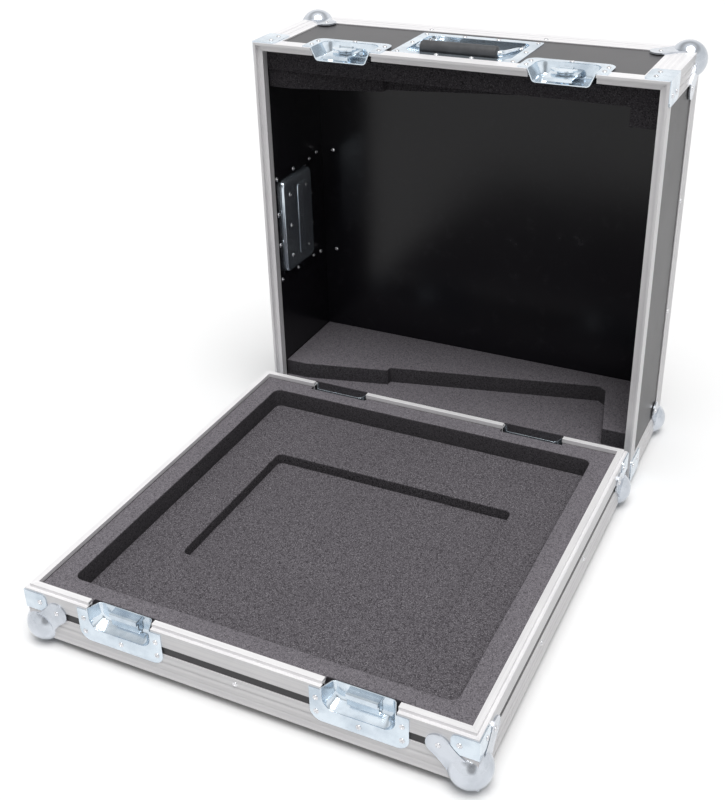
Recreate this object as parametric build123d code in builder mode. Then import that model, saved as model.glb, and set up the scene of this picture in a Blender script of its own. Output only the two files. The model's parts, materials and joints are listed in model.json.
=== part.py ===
from build123d import *
import os
from math import atan2, degrees

os.makedirs("parts", exist_ok=True)

# Frame of the model: +Z up, X to the right, the base's front at -Y. The origin is the centre of
# the base's underside. The lid stands behind the base, taken off, with its mouth to the front.
# Each wall has a frame of its own: along the wall, then away from the open edge, then outwards.

# Outside of the closed case, over the extrusions
case_width = 560.0
case_length = 560.0
base_height = 66.0
lid_depth = 177.0
lid_gap = 24.0            # from the base's rear face to the standing lid's mouth

# Panels and aluminium extrusions
panel_thickness = 7.0
skin = 1.5                # wall of every extrusion
edge_leg = 34.5           # leg of the right-angled edge profile
groove_width = 1.2        # ribbing on the edge profile
groove_depth = 0.5
groove_places = (11.8, 22.4)
closing_leg = 20.5        # outer leg of both closing profiles
inner_leg = 14.0          # leg behind the panel
rim_width = 11.5
tongue_height = 4.5
tongue_set_in = 4.0       # from the outer face to the tongue
tongue_clearance = 0.4

# Steel corners
corner_sheet = 2.0
ball_radius = 24.4
ball_centre = 13.0        # inside each of the three faces
lobe_centre = 42.5
lobe_radius = 14.0
flare_end = 25.0
flare_hollow = (17.0, 36.0)
brace_sheet = 1.5
brace_set_back = 2.0      # from the open edge
base_brace = (29.5, 25.0)     # reach from the corner, and depth
lid_brace = (32.0, 48.0)
brace_rounding = 7.0
lobe_clearance = 0.4

# Recessed latches: a catch dish in the base meets a latch dish in the lid
latch_inset = 131.0       # from the end of the wall to the middle of a latch
dish_sheet = 1.2
dish_depth = 15.0
dish_mouth = 83.0
dish_draw_in = 7.0        # how far the recess draws in from its mouth to its back
dish_rounding = 14.0
dish_floor_rounding = 5.0
dish_clearance = 0.3
flange_width = 113.4
flange_start = 3.0
flange_rounding = 14.0
catch_reach = 28.0        # depth of the base's recess from the open edge
catch_flange_end = 47.3
latch_reach = 42.0
latch_flange_end = 50.5

# The latch's mechanism turns on a spindle in the latch dish
spindle_back = 20.0       # from the open edge
spindle_radius = 2.5
running_clearance = 0.05
rotor_gap = 0.4           # above and below the hook, and over the dish's floor
rotor_sleeve_radius = 5.0
rotor_disc_radius = 13.0
rotor_disc_thickness = 2.1
eccentric_radius = 8.0
eccentric_throw = 4.0
eccentric_play = 1.1      # the eccentric turns while the hook moves evenly
rotor_top_radius = 10.5
rotor_top_thickness = 1.2
hook_width = 36.0
hook_sheet = 1.6
hook_top = -4.8           # below the wall's outer face
hook_overhang = 13.5      # past the lid's open edge
hook_lip = 2.6
hook_rail = 4.5           # behind the opening that the eccentric turns in
hook_side_play = 0.2
hook_rounding = 4.0
ear_inner = 8.2
ear_thickness = 1.6
ear_half = 2.5
stub_radius = 1.4
barrel_radius = 2.0
barrel_gap = 0.3
wing_radius = 18.0
wing_sheet = 1.8
wing_start = 3.2          # from the fold axis, clear of the ears
wing_rounding = 2.5

# The strike in the catch dish, a folded strip that the hook draws on
strike_width = 37.0
strike_sheet = 1.5
strike_start = 6.0        # from the open edge
strike_bar = 5.5
strike_play = 0.6
strike_shelf = 10.0       # below the wall's outer face

# Recessed spring handles, on the lid's front wall and left wall
handle_back = 77.0        # centre of the dish from the open edge
handle_flange_depth = 112.0
handle_latch_gap = 6.3    # along the wall, between the flanges of handle and latch
handle_flange_rounding = 4.0
handle_rim = (13.7, 12.2)     # of the flange, round the mouth
handle_draw_in = 2.5
handle_rounding = 12.0
handle_floor_rounding = 3.0
handle_depth = 12.0       # from the panel's face
handle_clearance = 0.5
bail_radius = 4.0
arm_set_in = 14.3         # from the end of the mouth to the middle of an arm
bail_bend = 5.0
pivot_offset = 30.0       # from the middle of the dish, towards the roof
pivot_height = -5.3       # from the panel's face
grip_offset = -31.0       # from the middle of the dish, towards the mouth
grip_height = 4.0
grip_radius = 9.5
grip_end_gap = 5.5        # from the middle of an arm to the end of the grip
grip_rounding = 3.0
grip_clearance = 0.1
bracket_gap = 9.5         # from the arm's middle to the bracket
bracket_sheet = 2.0
bracket_radius = 6.3
bail_overhang = 1.0       # past the bracket
spring_gap = 0.3
spring_wire = 1.3

# Foam, cut round a mixing desk
foam_clearance = 0.3
pocket_inset = 40.0       # from the outside of the case to the desk's pocket
pocket_rounding = 10.0
foam_under_rim = 1.0
outer_pocket_depth = 26.0
inner_pocket_depth = 15.0
inner_pocket_inset = (69.0, 118.0)    # from the sides of the outer pocket
inner_pocket_rounding = 8.0
cheek_start = 20.0        # from the lid's open edge
cheek_sheet = 25.0        # the sheet that is cut to the desk's side view
relief_margin = 1.5
# The desk's side view, as the lid's foam is cut to it: across the case, and from the open edge
desk_outline = (
    (-238.0, 24.0), (-112.0, 54.0), (-112.0, 63.0), (196.0, 134.0), (208.0, 125.0), (232.0, 21.0),
)

# Rivets
rivet_radius = 3.3
rivet_rise = 1.3
rivet_rounding = 0.9
edge_rivet_line = 27.0    # from the outer edge of the profile
edge_rivet_spread = 82.0
brace_rivet_line = 20.0   # from the corner
dish_rivet_depth = (16.0, 35.0)
base_brace_rivets = (14.5,)   # from the open edge
lid_brace_rivets = (15.5, 36.0)
handle_rivet_spread = 24.0
back_rivet_line = 24.4    # behind the handle's dish, from its middle
back_rivet_set_in = 24.3  # from the end of the mouth

half_width = case_width / 2
half_length = case_length / 2
wall_build = skin + panel_thickness
rim_z = base_height - skin
mouth_y = half_length + lid_gap
lid_centre_z = half_length - skin
hook_bottom = hook_top - hook_sheet
rotor_top = hook_top + rotor_gap + rotor_top_thickness
fold_height = rotor_top + barrel_gap + barrel_radius
latch_spread = half_width - latch_inset
latch_places = (-latch_spread, latch_spread)
handle_flange = (2 * (latch_spread - flange_width / 2 - handle_latch_gap), handle_flange_depth)
handle_mouth = [side - 2 * rim for side, rim in zip(handle_flange, handle_rim)]
bail_half = handle_mouth[0] / 2 - arm_set_in
grip_length = 2 * (bail_half - grip_end_gap)
back_rivet_spread = handle_mouth[0] / 2 - back_rivet_set_in
desk_pocket = (case_width - 2 * pocket_inset, case_length - 2 * pocket_inset)
inner_pocket = [side - 2 * inset for side, inset in zip(desk_pocket, inner_pocket_inset)]


def wall_frame(origin, depth_direction, outward):
    """A wall's outer face: X along the wall, Y away from the open edge, Z outwards."""
    along = Vector(*depth_direction).cross(Vector(*outward))
    return Plane(origin=origin, x_dir=along, z_dir=outward)


DOWN = (0, 0, -1)
BACK = (0, 1, 0)
base_walls = {
    "front": wall_frame((0, -half_length, rim_z), DOWN, (0, -1, 0)),
    "rear": wall_frame((0, half_length, rim_z), DOWN, (0, 1, 0)),
    "left": wall_frame((-half_width, 0, rim_z), DOWN, (-1, 0, 0)),
    "right": wall_frame((half_width, 0, rim_z), DOWN, (1, 0, 0)),
}
lid_walls = {
    "front": wall_frame((0, mouth_y, lid_centre_z + half_length), BACK, (0, 0, 1)),
    "rear": wall_frame((0, mouth_y, lid_centre_z - half_length), BACK, (0, 0, -1)),
    "left": wall_frame((-half_width, mouth_y, lid_centre_z), BACK, (-1, 0, 0)),
    "right": wall_frame((half_width, mouth_y, lid_centre_z), BACK, (1, 0, 0)),
}
wall_length = {"front": case_width, "rear": case_width, "left": case_length, "right": case_length}
latched_walls = ("front", "rear")
handled_walls = ("front", "left")


def save(piece, name):
    """Labels a finished piece and writes its file."""
    piece.part.label = name
    export_step(piece.part, f"parts/{name}.step")


def shifted(frame, along, depth, height=0.0):
    """The same frame, moved along its own axes."""
    origin = frame.from_local_coords((along, depth, height))
    return Plane(origin=origin, x_dir=frame.x_dir, z_dir=frame.z_dir)


def block(frame, along, depth, height, mode=Mode.ADD):
    """A block in a wall's frame, from three pairs of limits."""
    with BuildSketch(frame.offset(height[0])) as outline:
        with Locations(((along[0] + along[1]) / 2, (depth[0] + depth[1]) / 2)):
            Rectangle(along[1] - along[0], depth[1] - depth[0])
    extrude(outline.sketch, amount=height[1] - height[0], mode=mode)


def disc(frame, radius, height, place=(0, 0), mode=Mode.ADD):
    """A round block in a frame, between two heights."""
    with BuildSketch(frame.offset(height[0])) as outline:
        with Locations(place):
            Circle(radius)
    extrude(outline.sketch, amount=height[1] - height[0], mode=mode)


def strip(frame, length, inset, depth, mode=Mode.ADD):
    """One side of a mitred ring: inset from the outer face, and depth from the open edge."""
    outer, inner = inset
    plane = Plane(
        origin=frame.from_local_coords((0, depth[0], 0)), x_dir=frame.x_dir, z_dir=frame.y_dir
    )
    with BuildSketch(plane) as outline:
        with BuildLine():
            Polyline(
                (-length / 2 + outer, outer), (length / 2 - outer, outer),
                (length / 2 - inner, inner), (-length / 2 + inner, inner), close=True,
            )
        make_face()
    extrude(outline.sketch, amount=depth[1] - depth[0], mode=mode)


def edge_profile(frame, length, height):
    """The ribbed right-angled profile round the closed end of the base or lid."""
    strip(frame, length, (0, skin), (height - edge_leg, height))
    strip(frame, length, (0, edge_leg), (height - skin, height))
    for place in groove_places:
        low, high = place - groove_width / 2, place + groove_width / 2
        strip(frame, length, (0, groove_depth), (height - high, height - low), Mode.SUBTRACT)
        strip(frame, length, (low, high), (height - groove_depth, height), Mode.SUBTRACT)


def tongue_profile(frame, length):
    """The base's closing profile: a channel over the panel's edge, with a hollow tongue on it."""
    strip(frame, length, (0, skin), (0, closing_leg))
    strip(frame, length, (0, rim_width), (0, skin))
    strip(frame, length, (wall_build, wall_build + skin), (skin, inner_leg))
    strip(frame, length, (tongue_set_in, tongue_set_in + skin), (-tongue_height, skin))
    strip(frame, length, (rim_width - skin, rim_width), (-tongue_height, skin))
    strip(frame, length, (tongue_set_in, rim_width), (-tongue_height, skin - tongue_height))


groove_floor = tongue_height + tongue_clearance


def groove_profile(frame, length):
    """The lid's closing profile: the same channel, stepped back to take the tongue."""
    strip(frame, length, (0, tongue_set_in - tongue_clearance), (0, groove_floor + skin))
    strip(frame, length, (0, skin), (0, closing_leg))
    strip(frame, length, (0, rim_width), (groove_floor, groove_floor + skin))
    strip(frame, length, (wall_build, wall_build + skin), (groove_floor, groove_floor + inner_leg))


def tapered(mouth, draw_in, depth, rise, rounding, floor_rounding):
    """The space of a dish: its mouth at height 0, straight sides above it, drawn in below it."""
    with BuildPart() as form:
        with BuildSketch() as outline:
            RectangleRounded(*mouth, rounding)
        extrude(outline.sketch, amount=rise)
        extrude(outline.sketch, amount=-depth, taper=degrees(atan2(draw_in, depth)))
        fillet(form.faces().sort_by(Axis.Z)[0].edges(), radius=floor_rounding)
    return form.part


def latch_space(reach, margin):
    """The recess of a latch or catch dish, on both sides of the parting line, with a margin."""
    return tapered(
        (dish_mouth + 2 * margin, 2 * (reach + margin)), dish_draw_in, dish_depth + margin,
        dish_sheet, dish_rounding + margin, dish_floor_rounding + margin,
    )


def handle_space(margin):
    """The recess of a handle's dish, with a margin."""
    mouth = [side + 2 * margin for side in handle_mouth]
    return tapered(mouth, handle_draw_in, handle_depth + margin, dish_sheet,
                   handle_rounding + margin, handle_floor_rounding + margin)


def open_dish(reach, flange_end):
    """A dish in its wall's frame, open at the parting line, with a flange on three sides."""
    skin_form = latch_space(reach, dish_sheet)
    space = latch_space(reach, 0)
    with BuildPart() as dish:
        with BuildSketch():
            RectangleRounded(flange_width, 2 * flange_end, flange_rounding)
        extrude(amount=dish_sheet)
        block(Plane.XY, (-flange_width, flange_width), (-2 * flange_end, flange_start),
              (-dish_depth, 2 * dish_sheet), Mode.SUBTRACT)
        add(skin_form)
        add(space, mode=Mode.SUBTRACT)
        block(Plane.XY, (-flange_width, flange_width), (-2 * flange_end, dish_clearance),
              (-2 * dish_depth, 2 * dish_sheet), Mode.SUBTRACT)
    return dish.part


notch_half = dish_mouth / 2 + dish_sheet + dish_clearance
reach_of = {"base": catch_reach, "lid": latch_reach}
height_of = {"base": base_height, "lid": lid_depth}
walls_of = {"base": base_walls, "lid": lid_walls}
brace_of = {"base": base_brace, "lid": lid_brace}
panel_start = {"base": skin, "lid": groove_floor + skin}
closing_of = {"base": ("tongue", tongue_profile), "lid": ("groove", groove_profile)}


def notches(frame, tray, height):
    """The openings for two latch dishes, cut from the open edge."""
    end = reach_of[tray] + dish_sheet + dish_clearance
    for place in latch_places:
        block(frame, (place - notch_half, place + notch_half), (-2 * tongue_height, end),
              height, Mode.SUBTRACT)


# Panels and extrusions of the base and the lid, by the same rules
for tray, walls in walls_of.items():
    height = height_of[tray]
    for side, frame in walls.items():
        half = wall_length[side] / 2 - (skin if side in latched_walls else wall_build)
        with BuildPart() as wall_panel:
            block(frame, (-half, half), (panel_start[tray], height - skin), (-wall_build, -skin))
            if side in latched_walls:
                notches(frame, tray, (-wall_build, -skin))
            if tray == "lid" and side in handled_walls:
                opening = [size / 2 + dish_sheet + handle_clearance for size in handle_mouth]
                block(frame, (-opening[0], opening[0]),
                      (handle_back - opening[1], handle_back + opening[1]),
                      (-wall_build, -skin), Mode.SUBTRACT)
        save(wall_panel, f"{tray}_{side}_panel")

    kind, closing_profile = closing_of[tray]
    for name, sides in {"front": ["front"], "rear": ["rear"], "side": ["left", "right"]}.items():
        with BuildPart() as edge:
            for side in sides:
                edge_profile(walls[side], wall_length[side], height)
        save(edge, f"{tray}_{name}_edge_profile" + "s" * (len(sides) - 1))

        with BuildPart() as closing:
            for side in sides:
                closing_profile(walls[side], wall_length[side])
                if side in latched_walls:
                    notches(walls[side], tray, (-2 * rim_width, skin))
        save(closing, f"{tray}_{name}_{kind}_profile" + "s" * (len(sides) - 1))

# The closed ends: the base's bottom and the lid's roof, between the walls
for tray, name in {"base": "base_bottom_panel", "lid": "lid_roof_panel"}.items():
    end_frame = shifted(walls_of[tray]["front"], 0, height_of[tray], -half_length)
    with BuildPart() as end_panel:
        block(end_frame, (wall_build - half_width, half_width - wall_build),
              (-wall_build, -skin), (wall_build - half_length, half_length - wall_build))
    save(end_panel, name)


def corner_frames(tray, at_mouth):
    """Frames at the four corners of the open or closed end, with all three axes inwards."""
    height = 0 if at_mouth else height_of[tray]
    frames = []
    for side in ("left", "right"):
        for end in (-1, 1):
            frame = walls_of[tray][side]
            origin = frame.from_local_coords((end * case_length / 2, height, 0))
            axes = [frame.x_dir * -end, frame.z_dir * -1]
            normal = frame.y_dir * (1 if at_mouth else -1)
            if axes[0].cross(axes[1]).dot(normal) < 0:
                axes.reverse()
            frames.append(Plane(origin=origin, x_dir=axes[0], z_dir=normal))
    return frames


def lobe(margin):
    """One face of a ball corner: a lobe on the diagonal, with hollow flanks to both edges."""
    near = lobe_centre - lobe_radius / 2**0.5
    far = lobe_centre + lobe_radius / 2**0.5 + margin
    low = -corner_sheet
    end = flare_end + margin
    hollow = (flare_hollow[0] - margin, flare_hollow[1] + margin)
    with BuildLine() as outline:
        ThreePointArc((far, near), (lobe_centre + lobe_radius / 2**0.5 + margin,) * 2, (near, far))
        ThreePointArc((near, far), hollow, (low, end))
        Polyline((low, end), (low, low), (end, low))
        ThreePointArc((end, low), hollow[::-1], (far, near))
    make_face(outline.edges())


def lobes(margin, thickness):
    """The three faces of a ball corner, on the outside of the case."""
    for face in (Plane.XY, Plane.YZ, Plane.ZX):
        with BuildSketch(face) as outline:
            lobe(margin)
        extrude(outline.sketch, amount=-thickness)


with BuildPart() as ball_corner:
    lobes(0, corner_sheet)
    with Locations((ball_centre, ball_centre, ball_centre)):
        Sphere(ball_radius)
        Sphere(ball_radius - corner_sheet, mode=Mode.SUBTRACT)
    Box(case_width, case_width, case_width, align=(Align.MIN,) * 3, mode=Mode.SUBTRACT)

with BuildPart() as lobe_cutter:
    lobes(lobe_clearance, 2 * corner_sheet)


def brace_leg(reach, depth, swap):
    """One leg of a corner brace, over the corner's edge, with its far corners rounded."""
    size = (reach + brace_sheet, depth)
    middle = ((reach - brace_sheet) / 2, brace_set_back + depth / 2)
    with BuildSketch(Plane.ZY if swap else Plane.XZ) as leg:
        with Locations(middle[::-1] if swap else middle):
            Rectangle(*(size[::-1] if swap else size))
        fillet(leg.vertices().group_by(Axis.Y if swap else Axis.X)[-1], radius=brace_rounding)
    return leg.sketch


for tray, (reach, depth) in brace_of.items():
    height = height_of[tray]
    with BuildPart() as brace:
        extrude(brace_leg(reach, depth, False), amount=brace_sheet)
        extrude(brace_leg(reach, depth, True), amount=brace_sheet)

    with BuildPart() as braces:
        for frame in corner_frames(tray, at_mouth=True):
            add(brace.part.moved(frame.location))
        for frame in corner_frames(tray, at_mouth=False):
            add(lobe_cutter.part.moved(frame.location), mode=Mode.SUBTRACT)
    save(braces, f"{tray}_corner_braces")

    with BuildPart() as ball_corners:
        for frame in corner_frames(tray, at_mouth=False):
            add(ball_corner.part.moved(frame.location))
    save(ball_corners, f"{tray}_ball_corners")

    # A short length of the edge profile stands in each corner, between the two rings
    with BuildPart() as angles:
        for frame in corner_frames(tray, at_mouth=True):
            with BuildSketch(frame.offset(closing_leg)):
                with BuildLine():
                    Polyline((0, 0), (edge_leg, 0), (edge_leg, skin), (skin, skin),
                             (skin, edge_leg), (0, edge_leg), close=True)
                make_face()
                for place in groove_places:
                    with Locations((place, groove_depth / 2)):
                        Rectangle(groove_width, groove_depth, mode=Mode.SUBTRACT)
                    with Locations((groove_depth / 2, place)):
                        Rectangle(groove_depth, groove_width, mode=Mode.SUBTRACT)
            extrude(amount=height - edge_leg - closing_leg)
    save(angles, f"{tray}_corner_angles")

# Catch dishes in the base, each with a folded strike that the lid's hook draws on
bar_top = hook_bottom - strike_play
bar_end = strike_start + strike_bar
shelf_end = catch_reach - dish_draw_in * strike_shelf / dish_depth + dish_sheet / 2
catch_dish_form = open_dish(catch_reach, catch_flange_end)
with BuildPart() as catch_dish:
    add(catch_dish_form)
    with BuildSketch(Plane.YZ.offset(-strike_width / 2)):
        with BuildLine():
            Polyline(
                (strike_start, -dish_depth), (strike_start, bar_top), (bar_end, bar_top),
                (bar_end, -strike_shelf), (shelf_end, -strike_shelf),
                (shelf_end, -strike_shelf - strike_sheet),
                (bar_end - strike_sheet, -strike_shelf - strike_sheet),
                (bar_end - strike_sheet, bar_top - strike_sheet),
                (strike_start + strike_sheet, bar_top - strike_sheet),
                (strike_start + strike_sheet, -dish_depth), close=True,
            )
        make_face()
    extrude(amount=strike_width)

for side in latched_walls:
    with BuildPart() as catch_dishes:
        for place in latch_places:
            add(catch_dish.part.moved(shifted(base_walls[side], place, 0).location))
    save(catch_dishes, f"{side}_catch_dishes")

# Latch dishes in the lid, each with the spindle of its mechanism
spindle_frame = shifted(Plane.XY, 0, spindle_back)
latch_dish_form = open_dish(latch_reach, latch_flange_end)
with BuildPart() as latch_dish:
    add(latch_dish_form)
    disc(spindle_frame, spindle_radius, (-dish_depth, rotor_top))

with BuildPart() as latch_dishes:
    for side in latched_walls:
        for place in latch_places:
            add(latch_dish.part.moved(shifted(lid_walls[side], place, 0).location))
save(latch_dishes, "lid_latch_dishes")

# The rotor: a sleeve and disc under the hook, an eccentric through it, and ears for the wing
disc_top = hook_bottom - rotor_gap
top_start = hook_top + rotor_gap
with BuildPart() as rotor:
    disc(spindle_frame, rotor_sleeve_radius, (rotor_gap - dish_depth, disc_top))
    disc(spindle_frame, rotor_disc_radius, (disc_top - rotor_disc_thickness, disc_top))
    disc(spindle_frame, eccentric_radius, (disc_top, top_start), (0, eccentric_throw))
    disc(spindle_frame, rotor_top_radius, (top_start, rotor_top))
    disc(spindle_frame, spindle_radius + running_clearance, (-dish_depth, rotor_top), (0, 0),
         Mode.SUBTRACT)
    for ear_start in (ear_inner, -ear_inner - ear_thickness):
        with BuildSketch(Plane.YZ.offset(ear_start)):
            with Locations((spindle_back, (top_start + fold_height) / 2)):
                Rectangle(2 * ear_half, fold_height - top_start)
            with Locations((spindle_back, fold_height)):
                Circle(ear_half)
                Circle(stub_radius + running_clearance, mode=Mode.SUBTRACT)
        extrude(amount=ear_thickness)

# The wing: a half-round plate on a barrel, folded flat towards the open edge
barrel_half = ear_inner - barrel_gap
fold_axis = Plane(origin=(0, spindle_back, fold_height), x_dir=(0, 1, 0), z_dir=(1, 0, 0))
with BuildPart() as wing:
    with BuildSketch(spindle_frame.offset(fold_height - wing_sheet / 2)) as wing_outline:
        Circle(wing_radius)
        with Locations((0, wing_radius - wing_start)):
            Rectangle(2 * wing_radius, 2 * wing_radius, mode=Mode.SUBTRACT)
        fillet(wing_outline.vertices(), radius=wing_rounding)
        with Locations((0, -wing_start / 2)):
            Rectangle(2 * barrel_half, wing_start)
    extrude(amount=wing_sheet)
    disc(fold_axis, barrel_radius, (-barrel_half, barrel_half))
    disc(fold_axis, stub_radius, (-ear_inner - ear_thickness, ear_inner + ear_thickness))

# The hook: a flat plate with an opening that the eccentric turns in, and a lip at its tip
opening_half = eccentric_radius + eccentric_play
opening_middle = spindle_back + eccentric_throw
hook_end = opening_middle + opening_half + hook_rail
opening_width = 2 * (eccentric_radius + eccentric_throw + hook_side_play)
with BuildPart() as hook:
    with BuildSketch(Plane.XY.offset(hook_bottom)) as hook_outline:
        with Locations((0, (hook_end - hook_overhang) / 2)):
            Rectangle(hook_width, hook_end + hook_overhang)
        fillet(hook_outline.vertices().group_by(Axis.Y)[-1], radius=hook_rounding)
        with Locations((0, opening_middle)):
            Rectangle(opening_width, 2 * opening_half, mode=Mode.SUBTRACT)
    extrude(amount=hook_sheet)
    block(Plane.XY, (-hook_width / 2, hook_width / 2),
          (-hook_overhang, hook_sheet - hook_overhang), (hook_bottom - hook_lip, hook_bottom))

for side in latched_walls:
    for name, place in {"left": -latch_spread, "right": latch_spread}.items():
        frame = lid_walls[side]
        location = shifted(frame, place * frame.x_dir.X, 0).location
        for kind, piece in {"rotor": rotor, "wing": wing, "hook": hook}.items():
            with BuildPart() as moving_piece:
                add(piece.part.moved(location))
            save(moving_piece, f"{side}_{name}_latch_{kind}")

# The spring handle, in a frame on the panel's face at the middle of its dish
pivot_end = bail_half + bracket_gap + bracket_sheet / 2 + bail_overhang
pivot = (pivot_offset, pivot_height)
handle_skin = handle_space(dish_sheet)
handle_inside = handle_space(0)
with BuildPart() as handle_dish:
    with BuildSketch():
        RectangleRounded(*handle_flange, handle_flange_rounding)
    extrude(amount=dish_sheet)
    add(handle_skin)
    add(handle_inside, mode=Mode.SUBTRACT)
    for direction in (-1, 1):
        middle = direction * (bail_half + bracket_gap)
        with BuildSketch(Plane.YZ.offset(middle - bracket_sheet / 2)):
            with Locations((pivot_offset, (pivot_height - handle_depth) / 2)):
                Rectangle(2 * bracket_radius, pivot_height + handle_depth)
            with Locations(pivot):
                Circle(bracket_radius)
                Circle(bail_radius + running_clearance, mode=Mode.SUBTRACT)
        extrude(amount=bracket_sheet)


def bail_rod(radius):
    """The bail's rod: from one pivot, up the arm, along the grip and back down."""
    with BuildLine() as path:
        FilletPolyline(
            (-pivot_end, *pivot), (-bail_half, *pivot), (-bail_half, grip_offset, grip_height),
            (bail_half, grip_offset, grip_height), (bail_half, *pivot), (pivot_end, *pivot),
            radius=bail_bend,
        )
    with BuildSketch(Plane(origin=path.line @ 0, z_dir=path.line % 0)) as section:
        Circle(radius)
    sweep(section.sketch, path=path.line)


with BuildPart() as bail:
    bail_rod(bail_radius)

grip_axis = Plane(origin=(0, grip_offset, grip_height), x_dir=(0, 1, 0), z_dir=(1, 0, 0))
with BuildPart() as grip:
    disc(grip_axis, grip_radius, (-grip_length / 2, grip_length / 2))
    fillet(grip.edges().filter_by(GeomType.CIRCLE), radius=grip_rounding)
    disc(grip_axis, bail_radius + grip_clearance, (-grip_length / 2, grip_length / 2),
         (0, 0), Mode.SUBTRACT)

spring_start = bail_half + bail_bend + spring_gap
spring_end = bail_half + bracket_gap - bracket_sheet / 2 - spring_gap
spring_radius = bail_radius + spring_gap
with BuildPart() as springs:
    for direction in (-1, 1):
        with BuildSketch(Plane.YZ.offset(direction * spring_start)):
            with Locations(pivot):
                Circle(spring_radius + spring_wire)
                Circle(spring_radius, mode=Mode.SUBTRACT)
        extrude(amount=direction * (spring_end - spring_start))

for side in handled_walls:
    location = shifted(lid_walls[side], 0, handle_back, -skin).location
    pieces = {"dish": handle_dish, "bail": bail, "grip": grip, "springs": springs}
    for kind, piece in pieces.items():
        with BuildPart() as handle_piece:
            add(piece.part.moved(location))
        save(handle_piece, f"{side}_handle_{kind}")

# Foam in the base: a frame round the desk's pocket, and inside it a bottom sheet and a sheet
# with the inner pocket
foam_half_width = half_width - rim_width - foam_clearance
foam_half_length = half_length - rim_width - foam_clearance
foam_top = rim_z - foam_under_rim
outer_floor = foam_top - outer_pocket_depth
inner_floor = outer_floor - inner_pocket_depth
back_clear = dish_depth + dish_sheet + relief_margin
sheet_size = [side - 2 * foam_clearance for side in desk_pocket]


def dish_relief(frame, tray):
    """Room in the foam for the backs of a wall's latch dishes."""
    half = dish_mouth / 2 + dish_sheet + relief_margin
    end = reach_of[tray] + dish_sheet + relief_margin
    for place in latch_places:
        block(frame, (place - half, place + half), (0, end), (-back_clear, 0), Mode.SUBTRACT)


with BuildPart() as foam_frame:
    with BuildSketch(Plane.XY.offset(panel_thickness)):
        Rectangle(2 * foam_half_width, 2 * foam_half_length)
        RectangleRounded(*desk_pocket, pocket_rounding, mode=Mode.SUBTRACT)
    extrude(amount=foam_top - panel_thickness)
    for side in latched_walls:
        dish_relief(base_walls[side], "base")
save(foam_frame, "base_foam_frame")

with BuildPart() as bottom_sheet:
    with BuildSketch(Plane.XY.offset(panel_thickness)):
        RectangleRounded(*sheet_size, pocket_rounding)
    extrude(amount=inner_floor - panel_thickness)
save(bottom_sheet, "base_foam_bottom")

with BuildPart() as inner_tray:
    with BuildSketch(Plane.XY.offset(inner_floor)):
        RectangleRounded(*sheet_size, pocket_rounding)
        RectangleRounded(*inner_pocket, inner_pocket_rounding, mode=Mode.SUBTRACT)
    extrude(amount=outer_floor - inner_floor)
save(inner_tray, "base_foam_inner_tray")

# Foam in the lid: on each side of the desk a liner, and a cheek cut to the desk's side view
liner_inside = desk_pocket[1] / 2 - half_length
cheek_half = half_width - wall_build - foam_clearance
roof_inside = lid_depth - wall_build
outline_start = (-cheek_half, desk_outline[0][1])
outline_end = (cheek_half, desk_outline[-1][1])
cheek_outline = (outline_start, *desk_outline, outline_end,
                 (cheek_half, roof_inside), (-cheek_half, roof_inside))
for side in latched_walls:
    frame = lid_walls[side]
    with BuildPart() as liner:
        block(frame, (-cheek_half, cheek_half), (cheek_start, roof_inside),
              (liner_inside, -wall_build))
        dish_relief(frame, "lid")
        if side in handled_walls:
            room = [size / 2 + dish_sheet + relief_margin for size in handle_mouth]
            depth = skin + handle_depth + dish_sheet + relief_margin
            block(frame, (-room[0], room[0]), (handle_back - room[1], handle_back + room[1]),
                  (-depth, 0), Mode.SUBTRACT)
    save(liner, f"lid_{side}_foam_liner")

    with BuildPart() as cheek:
        with BuildSketch(frame.offset(liner_inside - cheek_sheet)):
            with BuildLine():
                Polyline(*[(x * frame.x_dir.X, depth) for x, depth in cheek_outline], close=True)
            make_face()
        extrude(amount=cheek_sheet)
    save(cheek, f"lid_{side}_foam_cheek")

# Rivet heads, each on the outside of what it fastens, and the burrs that show inside the lid
with BuildPart() as rivet:
    Cylinder(rivet_radius, rivet_rise, align=(Align.CENTER, Align.CENTER, Align.MIN))
    fillet(rivet.edges().filter_by(GeomType.CIRCLE).sort_by(Axis.Z)[-1], radius=rivet_rounding)


def rivet_at(frame, along, depth, height, inside=False):
    """A rivet head on a wall, at a height over its outer face."""
    place = shifted(frame, along, depth, height)
    if inside:
        place = Plane(origin=place.origin, x_dir=place.x_dir, z_dir=place.z_dir * -1)
    return rivet.part.moved(place.location)


def edge_rivets(frame, tray, spots, inside):
    """Rivets through a wall's edge profile, with their burrs where the inside shows."""
    line = height_of[tray] - edge_rivet_line
    heads = [rivet_at(frame, spot * edge_rivet_spread, line, 0) for spot in spots]
    if inside:
        heads += [rivet_at(frame, spot * edge_rivet_spread, line, -wall_build, True)
                  for spot in spots]
    return heads


def dish_rivets(frame, tray, flange_end):
    """Five rivets round the flange of each latch dish on a wall."""
    side_line = (flange_width + dish_mouth) / 4
    end_line = (reach_of[tray] + flange_end) / 2
    heads = []
    for place in latch_places:
        heads.append(rivet_at(frame, place, end_line, dish_sheet))
        for direction in (-1, 1):
            for depth in dish_rivet_depth:
                heads.append(rivet_at(frame, place + direction * side_line, depth, dish_sheet))
    return heads


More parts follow.
